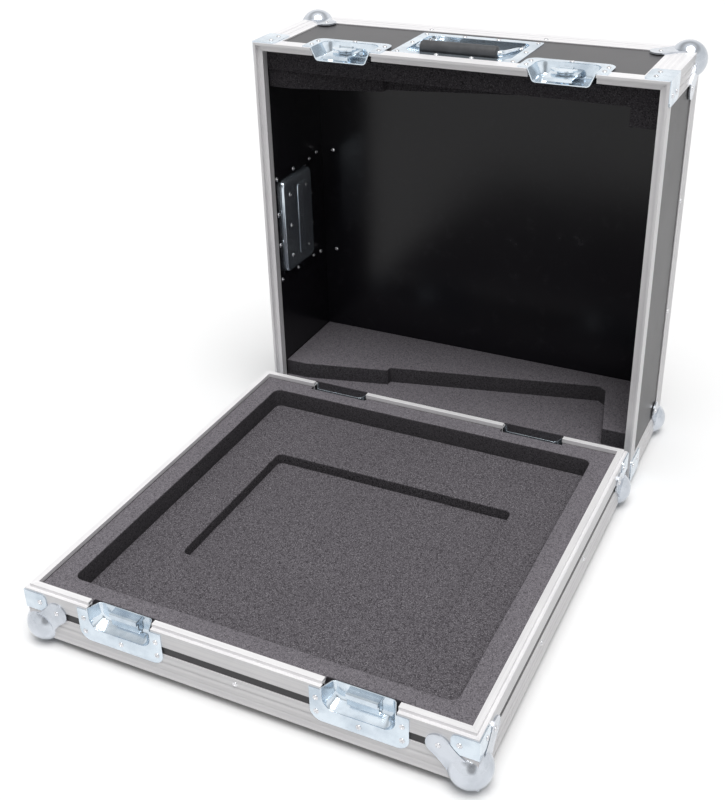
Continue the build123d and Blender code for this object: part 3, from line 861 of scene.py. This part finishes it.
@dataclass
class FoamBed:
    """The base's foam: a frame round the desk's pocket, with two sheets inside it."""

    half: float = 268.2
    pocket: float = 480.0
    pocket_rounding: float = 10.0
    sheet: float = 479.4
    inner_pocket: tuple = (342.0, 244.0)
    inner_rounding: float = 8.0
    heights: tuple = (7.0, 22.5, 37.5, 63.5)
    relief_low: float = 33.8
    relief_depth: float = 5.9
    edge: float = 1.6
    waver: float = 0.7
    phases: tuple = (0.4, 1.9)

    def relieved(self) -> np.ndarray:
        """The frame's outer outline, set back behind the four catch dishes."""
        front = np.array(notched(self.half, 0.0, self.relief_depth)) + (0, -self.half)
        return np.concatenate([front, [(self.half, -self.half)], -front, [(-self.half, self.half)]])

    def build(self) -> None:
        """Makes the frame and both sheets."""
        bottom, inner, outer, top = self.heights
        square = np.array([(-1, -1), (1, -1), (1, 1), (-1, 1)]) * self.half
        pocket = fine(rounded_rectangle(self.pocket, self.pocket, self.pocket_rounding))
        pocket = wavered(pocket[::-1], self.waver, self.phases[0])
        # The frame takes the lit copy of the foam: painted light.
        make_layers("foam_pocket_frame", FLOOR_FRAME, [
            Layer(fine(square), bottom, self.relief_low, [pocket]),
            Layer(fine(self.relieved()), self.relief_low, top, [pocket], round_high=self.edge),
        ], LIT_FOAM, "base", "base_foam_frame")
        sheet = fine(rounded_rectangle(self.sheet, self.sheet, self.pocket_rounding))
        middle = fine(rounded_rectangle(*self.inner_pocket, self.inner_rounding))[::-1]
        middle = wavered(middle, self.waver, self.phases[1])
        make_layers("foam_tray_sheet", FLOOR_FRAME, [
            Layer(sheet, inner, outer, [middle], round_high=self.edge)],
            FOAM, "base", "base_foam_inner_tray")
        make_layers("foam_bottom_sheet", FLOOR_FRAME, [
            Layer(sheet, bottom, inner)], FOAM, "base", "base_foam_bottom")


@dataclass
class FoamCheeks:
    """The lid's foam: on two walls a liner, and a cheek cut to the desk's side view."""

    half: float = 271.2
    start: float = 20.0
    end: float = 168.5
    back: float = -8.5
    liner: float = -40.0
    cheek: float = -65.0
    relief: float = -17.7
    relief_end: float = 44.7
    handle_room: tuple = (150.0, 93.0)
    room_rounding: float = 4.0
    edge: float = 1.6
    desk: tuple = ((-238.0, 24.0), (-112.0, 54.0), (-112.0, 63.0), (196.0, 134.0),
                   (208.0, 125.0), (232.0, 21.0))

    def relieved(self) -> np.ndarray:
        """The liner's outline behind the dishes, with room for the latch dishes at its mouth."""
        mouth = notched(self.half, self.start, self.relief_end)
        return np.array(mouth + [(self.half, self.start), *self.back_corners()])

    def back_corners(self) -> list:
        """The two corners at the roof's end."""
        return [(self.half, self.end), (-self.half, self.end)]

    def build_wall(self, side: str, wall: WallFrame, flip: int, handled: bool) -> None:
        """Makes the liner and cheek of one wall.

        Args:
            side: the wall's name.
            wall: its frame.
            flip: 1 or -1, the direction of X along this wall.
            handled: whether a handle's dish needs room.
        """
        plain = np.array(
            [(-self.half, self.start), (self.half, self.start), *self.back_corners()])
        holes = []
        if handled:
            hole = rounded_rectangle(*self.handle_room, self.room_rounding)[::-1]
            holes = [fine(hole + (0, HANDLE_MIDDLE))]
        # The rear wall's foam takes the lit copy of the foam: painted light.
        finish = FOAM if handled else LIT_FOAM
        make_layers(f"foam_{side}_liner", wall, [
            Layer(fine(plain), self.liner, self.relief, round_low=self.edge),
            Layer(fine(self.relieved()), self.relief, self.back, holes),
        ], finish, "lid", f"lid_{side}_foam_liner")
        line = [(x * flip, y) for x, y in self.desk]
        if flip < 0:
            line = line[::-1]
        outline = np.array([(-self.half, line[0][1]), *line, (self.half, line[-1][1]),
                            *self.back_corners()])
        make_layers(f"foam_{side}_cheek", wall, [
            Layer(fine(outline), self.cheek, self.liner, round_low=self.edge)],
            finish, "lid", f"lid_{side}_foam_cheek")

    def build(self) -> None:
        """Makes both walls' foam."""
        self.build_wall("front", LID_FRONT, 1, True)
        self.build_wall("rear", LID_REAR, -1, False)


@dataclass
class RivetHeads:
    """Domed rivet heads with the small dent of the mandrel, one on each CAD head."""

    radius: float = 3.3
    rise: float = 1.3
    near: float = 0.05
    sides: int = 22
    profile: tuple = (
        (1.0, 0.0), (1.0, 0.16), (0.93, 0.42), (0.78, 0.70), (0.58, 0.90), (0.42, 1.0),
        (0.33, 0.98), (0.28, 0.72), (0.16, 0.62), (0.0, 0.60),
    )

    def spots(self, node: str) -> tuple:
        """Where each head of a CAD node sits.

        Vertices that lie on one head are those of one connected island. A head is thinnest
        along its axis, and it is widest where it sits.

        Args:
            node: the CAD node's name.

        Returns:
            The seats' middles in millimetres, and the outward directions.
        """
        work = bmesh.new()
        work.from_mesh(frame["nodes"][node].data)
        bmesh.ops.remove_doubles(work, verts=work.verts, dist=SAME_PLACE)
        seats, outward, seen = [], [], set()
        for start in work.verts:
            if start.index in seen:
                continue
            island, waiting = [], [start]
            seen.add(start.index)
            while waiting:
                here = waiting.pop()
                island.append(here.co[:])
                for edge in here.link_edges:
                    other = edge.other_vert(here)
                    if other.index not in seen:
                        seen.add(other.index)
                        waiting.append(other)
            cloud = np.array(island) / MM
            low, high = cloud.min(0), cloud.max(0)
            thin = int(np.argmin(high - low))
            middle = (low + high) / 2
            wide = np.linalg.norm(np.delete(cloud - middle, thin, 1), axis=1)
            seat = cloud[wide > wide.max() - self.near][:, thin].min()
            sign = 1.0 if seat - low[thin] < self.near else -1.0
            middle[thin] = low[thin] if sign > 0 else high[thin]
            seats.append(middle)
            outward.append(np.eye(3)[thin] * sign)
        work.free()
        return np.array(seats), np.array(outward)

    def build(self, name: str, node: str, body: str, more: Iterable = ()) -> None:
        """Puts a turned head on every spot of a node, and on more spots.

        Each head is its profile turned about its axis: a circle of the profile's radius at the
        profile's height, in the plane square to the axis.

        Args:
            name: the piece's name.
            node: the CAD node that it stands for.
            body: the body that it rides on.
            more: the seats and outward directions of heads that the node doesn't have.
        """
        seats, outward = self.spots(node)
        for more_seats, more_outward in more:
            seats = np.concatenate([seats, more_seats])
            outward = np.concatenate([outward, more_outward])
        first = np.roll(outward, 1, axis=1)
        second = np.cross(outward, first)
        angle = np.linspace(0, 2 * math.pi, self.sides, endpoint=False)
        share, height = np.array(self.profile).T
        across = share[:, None] * self.radius * np.cos(angle)
        up = share[:, None] * self.radius * np.sin(angle)
        points = (seats[:, None, None] + across[None, :, :, None] * first[:, None, None]
                  + up[None, :, :, None] * second[:, None, None]
                  + (height * self.rise)[None, :, None, None] * outward[:, None, None])
        rows, size = len(self.profile), len(self.profile) * self.sides
        faces = []
        for head in range(len(seats)):
            faces += grid_faces(rows, self.sides, head * size).tolist()
            faces.append(list(range(head * size, head * size + self.sides))[::-1])
        piece = make_piece(name, points.reshape(-1, 3), faces, RIVET_STEEL, body)
        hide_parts(node)


def facing(seats: np.ndarray, outward: tuple) -> tuple:
    """Seats, and the outward direction that they share for each."""
    return seats, np.tile(outward, (len(seats), 1))


@dataclass
class HiddenSides:
    """The rivets' far ends and second rows: inside the lid, on its roof and under the base."""

    spread: float = 82.0
    line: float = 27.0
    wall_build: float = 8.5
    handle_columns: float = 79.15
    handle_rows: float = 49.9
    handle_step: float = 24.0
    roof: float = 481.0
    lid_middle: float = 278.5
    underside: float = -1.5
    half: float = 280.0

    def ring(self) -> np.ndarray:
        """Two spots near each side of a square face, as steps from its middle."""
        far = self.half - self.line
        return np.array([(s * self.spread, e * far) for s in (-1, 1) for e in (-1, 1)]
                        + [(e * far, s * self.spread) for s in (-1, 1) for e in (-1, 1)])

    def handle_burrs(self) -> tuple:
        """Finds the ends of the left handle's ten rivets, on the lid's left panel inside.

        Returns:
            Their seats and outward directions.
        """
        column, row, step = self.handle_columns, self.handle_rows, self.handle_step
        spots = [(c * column, r * row) for c in (-1, 1) for r in (-1, 0, 1)]
        spots += [(s * step, r * row) for s in (-1, 1) for r in (-1, 1)]
        along, depth = np.array(spots).T
        local = np.column_stack([along, depth + HANDLE_MIDDLE, 0 * along - self.wall_build])
        return facing(LID_LEFT.place(local), (1.0, 0.0, 0.0))

    def roof_heads(self) -> tuple:
        """The heads on the roof's leg of the lid's edge profiles."""
        across, up = self.ring().T
        return facing(np.column_stack([across, 0 * across + self.roof, up + self.lid_middle]),
                      (0.0, 1.0, 0.0))

    def roof_burrs(self) -> tuple:
        """Finds their far ends inside, at the left and right, where no foam covers them.

        Returns:
            The seats and outward directions.
        """
        seats, outward = self.roof_heads()
        sides = np.abs(seats[:, 0]) > np.abs(seats[:, 2] - self.lid_middle)
        return seats[sides] - (0, self.wall_build, 0), -outward[sides]

    def underside_heads(self) -> tuple:
        """The heads on the underside's leg of the base's edge profiles."""
        across, up = self.ring().T
        return facing(np.column_stack([across, up, 0 * across + self.underside]),
                      (0.0, 0.0, -1.0))


@dataclass
class HandleBackPlate:
    """The stiffening plate on the back of the left handle's dish, which shows inside the lid."""

    low: float = -15.35
    high: float = -14.7
    size: tuple = (110.0, 33.0)
    middle: tuple = (1.0, 91.0)
    rounding: float = 4.0
    edge: float = 0.55

    def build(self) -> None:
        """Makes the plate as one slice with a rounded edge."""
        outline = rounded_rectangle(*self.size, self.rounding) + np.array(self.middle)
        make_layers("left_handle_back_plate", LID_LEFT,
                    [Layer(outline, self.low, self.high, round_low=self.edge)], ZINC, "lid")


@dataclass
class StrikeEnds:
    """The folded-in ends of the strikes in the four catch dishes."""

    wall: float = 280.0
    lip: float = 64.5
    half_width: float = 18.5
    sheet: float = 1.1
    section: tuple = (
        (6.1, -14.9), (6.1, -7.1), (11.4, -7.1), (11.4, -10.1), (23.6, -10.1), (25.2, -14.9),
    )

    def build(self) -> None:
        """Makes each end as a thin slice across its strike, in both walls' dishes."""
        for side, out in (("front", -1.0), ("rear", 1.0)):
            across = WallFrame((0, self.wall * out, self.lip), (0, 0, -1), (0, out, 0), (1, 0, 0))
            layers = []
            for place in (-LATCH_SPREAD, LATCH_SPREAD):
                for start in (-self.half_width, self.half_width - self.sheet):
                    layers.append(Layer(fine(np.array(self.section)), place + start,
                                        place + start + self.sheet))
            make_layers(f"{side}_strike_ends", across, layers, ZINC, "base")


@dataclass
class HandleSprings:
    """The wound torsion springs round a handle's pivots."""

    pivot: float = 30.0
    height: float = -6.8
    ends: tuple = (63.35, 66.15)
    wire: float = 0.62
    coil: float = 4.95
    turns: float = 1.75
    steps: int = 56
    sides: int = 10

    def coil_points(self, sign: int) -> np.ndarray:
        """Carries the wire's circle along a helix, square to it at every step.

        Args:
            sign: 1 or -1, the end of the handle.

        Returns:
            The tube's points, round its own axis.
        """
        share = np.linspace(0, 1, self.steps)[:, None]
        angle = 2 * math.pi * self.turns * share
        near, far = self.ends[0] + self.wire, self.ends[1] - self.wire
        radial = np.concatenate([0 * angle, np.cos(angle), np.sin(angle)], 1)
        centre = radial * self.coil
        centre[:, :1] = sign * (near + (far - near) * share)
        tangent = np.gradient(centre, axis=0)
        tangent /= np.linalg.norm(tangent, axis=1)[:, None]
        side = np.cross(tangent, radial)
        turn = np.linspace(0, 2 * math.pi, self.sides, endpoint=False)
        ring = (radial[:, None] * np.cos(turn)[None, :, None]
                + side[:, None] * np.sin(turn)[None, :, None])
        return (centre[:, None] + self.wire * ring).reshape(-1, 3)

    def build(self, side: str, wall: WallFrame) -> None:
        """Makes both springs of one handle.

        Args:
            side: the handle's name.
            wall: the frame of the wall that it sits in.
        """
        points, faces = [], []
        for number, sign in enumerate((-1, 1)):
            first = number * self.steps * self.sides
            points.append(self.coil_points(sign) + (0, HANDLE_MIDDLE + self.pivot, self.height))
            faces += grid_faces(self.steps, self.sides, first).tolist()
            last = first + (self.steps - 1) * self.sides
            faces.append(list(range(first, first + self.sides)))
            faces.append(list(range(last, last + self.sides))[::-1])
        piece = make_piece(f"{side}_handle_wound_springs", wall.place(np.concatenate(points)),
                           faces, SPRING_WIRE, "lid")
        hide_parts(f"{side}_handle_springs")


@dataclass(frozen=True)
class SoftEdges:
    """Rounds the look of CAD pieces: curved faces shade smoothly, and sheet edges are broken."""

    angle: float = 32.0
    merge: float = 0.004
    broken: float = 0.28
    broken_over: float = 40.0

    def group(self) -> bpy.types.NodeTree:
        """Makes the group, once: it joins loose triangles and keeps only steep edges sharp.

        Returns:
            The node group.
        """
        made = bpy.data.node_groups.get("soft_edges")
        if made is None:
            made = bpy.data.node_groups.new("soft_edges", "GeometryNodeTree")
            for way in ("INPUT", "OUTPUT"):
                made.interface.new_socket("Geometry", in_out=way, socket_type="NodeSocketGeometry")
            graph = Graph(made)
            shape = graph.add("NodeGroupInput", {}, {})
            shape = graph.add("GeometryNodeMergeByDistance", {}, {
                "Geometry": shape, "Distance": self.merge * MM})
            shape = graph.add("GeometryNodeSetShadeSmooth", {"domain": "FACE"}, {
                "Geometry": shape, "Shade Smooth": True})
            steep = graph.add("GeometryNodeInputMeshEdgeAngle", {}, {})
            shape = graph.add("GeometryNodeSetShadeSmooth", {"domain": "EDGE"}, {
                "Geometry": shape, "Selection": steep.above(math.radians(self.angle)),
                "Shade Smooth": False})
            graph.add("NodeGroupOutput", {}, {0: shape}, None)
        return made

    def apply(self, obj: bpy.types.Object, broken: bool) -> None:
        """Puts the group on an object.

        Args:
            obj: a CAD node's object.
            broken: whether its edges get a narrow bevel too.
        """
        smooth = obj.modifiers.new("soft_edges", "NODES")
        smooth.node_group = self.group()
        if broken:
            bevel = obj.modifiers.new("broken_edges", "BEVEL")
            bevel.width = self.broken * MM
            bevel.segments = 2
            bevel.limit_method = "ANGLE"
            bevel.angle_limit = math.radians(self.broken_over)
            bevel.harden_normals = True
            bevel.use_clamp_overlap = True


@dataclass
class Dressing:
    """Gives each CAD node the finish of its real piece."""

    by_slot: dict = field(default_factory=lambda: {
        Slot.ZINC: ZINC,
        Slot.RIVET: RIVET_STEEL,
        Slot.SPRING: ROD_STEEL,
        Slot.GRIP: RUBBER,
        Slot.FOAM: FOAM,
    })

    def run_of(self, node: str) -> Axis:
        """Finds the direction that an extrusion runs in.

        Args:
            node: the CAD node's name.

        Returns:
            The direction.
        """
        if "corner" in node:
            return Axis.Z if node.startswith("base") else Axis.Y
        if "side" in node:
            return Axis.Y if node.startswith("base") else Axis.Z
        return Axis.X

    def finish_of(self, node: str, slot: Slot) -> Finish:
        """Chooses the finish of one node.

        Args:
            node: its name.
            slot: its material slot in the record.

        Returns:
            The finish.
        """
        if slot is Slot.ALUMINIUM:
            fluted = "edge" in node or "angles" in node
            return (FLUTED_ALUMINIUM if fluted else PLAIN_ALUMINIUM)[self.run_of(node)]
        if slot is Slot.LAMINATE:
            return BASE_LAMINATE if node.startswith("base") else LID_LAMINATE
        if "ball_corners" in node:
            return BALL_ZINC
        return self.by_slot[slot]

    def build(self) -> None:
        """Puts each node's finish in its object's material slot."""
        slots = {
            part["node"]: Slot(part["material_slot"]) for part in frame["record"]["subparts"]}
        for node, obj in frame["nodes"].items():
            finish = self.finish_of(node, slots[node])
            obj.data.materials.clear()
            obj.data.materials.append(finish.material())
            if slots[node] not in (Slot.FOAM, Slot.LAMINATE):
                SoftEdges().apply(obj, "profile" in node or "dish" in node or "brace" in node)
            log.info("%s: %s", node, finish.name)


@dataclass
class Studio:
    """A plain pale floor under a soft overhead sky and one broad sun, and the camera."""

    floor_z: float = -13.2
    floor_reach: float = 60.0
    floor_tone: float = 0.895
    floor_bounce: float = 0.30
    floor_clouds: Pattern = Pattern(3.0)
    floor_mottle: float = 0.01
    floor_rough: float = 0.9
    floor_specular: float = 0.1
    horizon: float = 0.05
    zenith: float = 0.66
    seen_sky: tuple = ((0.52, 1.0), (0.66, 0.66), (0.78, 0.48), (0.88, 0.72), (0.94, 1.0))
    dark_way: tuple = (0.39, -0.78, 0.49)
    dark_rim: tuple = (0.88, 0.975)
    dark_share: float = 0.62
    sun: float = 2.35
    sun_spread: float = 40.0
    sun_way: tuple = (-0.16, 0.22, -1.0)
    camera_place: tuple = (549.0, -1049.3, 927.1)
    azimuth: float = 26.574
    elevation: float = 29.011
    roll: float = -1.551
    lens: float = 52.25
    shift_up: float = -0.0375
    film: float = 36.0
    furthest: float = 200.0

    def seen(self, graph: Graph) -> Value:
        """1 for the rays of the camera, of reflections and of glass, else 0."""
        rays = [graph.add("ShaderNodeLightPath", {}, {}, name)
                for name in ("Is Camera Ray", "Is Glossy Ray", "Is Transmission Ray")]
        return rays[0].larger(rays[1]).larger(rays[2])

    def floor(self) -> None:
        """A wide flat floor, pale where it is seen and dim where it would light the case."""
        reach = self.floor_reach / MM
        corners = np.array([(-1, -1), (1, -1), (1, 1), (-1, 1)]) * reach
        points = np.column_stack([corners, np.full(4, self.floor_z)])
        mesh = bpy.data.meshes.new("floor")
        mesh.from_pydata(points * MM, [], [(0, 1, 2, 3)])
        paint = bpy.data.materials.new("floor_paper")
        paint.use_nodes = True
        graph = Graph(paint.node_tree)
        dim, dull, tone = (colour(grey, grey, grey) for grey in (
            self.floor_bounce, self.floor_tone - self.floor_mottle, self.floor_tone))
        pale = graph.mix(graph.noise(graph.place(), self.floor_clouds), tone, dull)
        graph.surface({
            "Base Color": graph.mix(self.seen(graph), dim, pale),
            "Roughness": self.floor_rough,
            "Specular IOR Level": self.floor_specular,
        })
        mesh.materials.append(paint)
        floor = linked("floor", mesh)

    def world(self) -> None:
        """A sky that lights more from above.

        Where it is seen, it is white to half its height, then greyer, and white again overhead,
        like a hall with a wide soft box. A dark patch stands behind the photograph's camera.
        """
        world = bpy.data.worlds.new("studio")
        world.use_nodes = True
        bpy.context.scene.world = world
        graph = Graph(world.node_tree)
        way = graph.add("ShaderNodeTexCoord", {}, {}, "Generated")
        up = way.parts()[2].between(0.0, 1.0)
        light = self.horizon + up * (self.zenith - self.horizon)
        behind = graph.add("ShaderNodeVectorMath", {"operation": "DOT_PRODUCT"}, {
            0: way, 1: self.dark_way}, "Value").between(*self.dark_rim)
        shown = graph.ramp(up, self.seen_sky) * (1 - behind * self.dark_share)
        seen = self.seen(graph)
        back = graph.add("ShaderNodeBackground", {}, {
            "Color": colour(1.0, 1.0, 1.0), "Strength": shown * seen + light * (1 - seen)})
        world.node_tree.links.new(
            back.socket, world.node_tree.nodes.new("ShaderNodeOutputWorld").inputs["Surface"])

    def lamps(self) -> None:
        """One broad soft sun, high in front on the right."""
        lamp = bpy.data.lights.new("key", "SUN")
        lamp.energy = self.sun
        lamp.angle = math.radians(self.sun_spread)
        key = linked("key", lamp)
        key.rotation_euler = Vector(self.sun_way).to_track_quat("-Z", "Y").to_euler()

    def camera(self) -> None:
        """The camera of the photograph: its place, direction, roll, lens and small shift."""
        az, el, roll = (math.radians(a) for a in (self.azimuth, self.elevation, self.roll))
        ahead = Vector((-math.sin(az) * math.cos(el), math.cos(az) * math.cos(el), -math.sin(el)))
        level = Vector((math.cos(az), math.sin(az), 0.0))
        upright = level.cross(ahead)
        right = level * math.cos(roll) + upright * math.sin(roll)
        up = right.cross(ahead)
        data = bpy.data.cameras.new("camera")
        data.lens = self.lens
        data.sensor_width = self.film
        data.shift_y = self.shift_up
        data.clip_end = self.furthest
        camera = linked("camera", data)
        turn = Matrix((right, up, -ahead)).transposed().to_4x4()
        camera.matrix_world = Matrix.Translation(Vector(self.camera_place) * MM) @ turn
        bpy.context.scene.camera = camera

    def build(self) -> None:
        """Sets the stage."""
        self.floor()
        self.world()
        self.lamps()
        self.camera()
        bpy.context.scene.view_settings.view_transform = "Standard"


def main() -> None:
    """Builds the scene in order."""
    logging.basicConfig(level=logging.INFO, format="%(name)s %(message)s")
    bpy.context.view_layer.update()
    Studio().build()
    Dressing().build()
    FoamBed().build()
    FoamCheeks().build()
    heads = RivetHeads()
    far = HiddenSides()
    heads.build("base_rivet_heads", "base_rivets", "base", [far.underside_heads()])
    heads.build("lid_rivet_heads", "lid_rivets", "lid",
                [far.handle_burrs(), far.roof_heads(), far.roof_burrs()])
    HandleBackPlate().build()
    StrikeEnds().build()
    springs = HandleSprings()
    springs.build("front", LID_FRONT)
    springs.build("left", LID_LEFT)


if __name__ == "__main__":
    main()
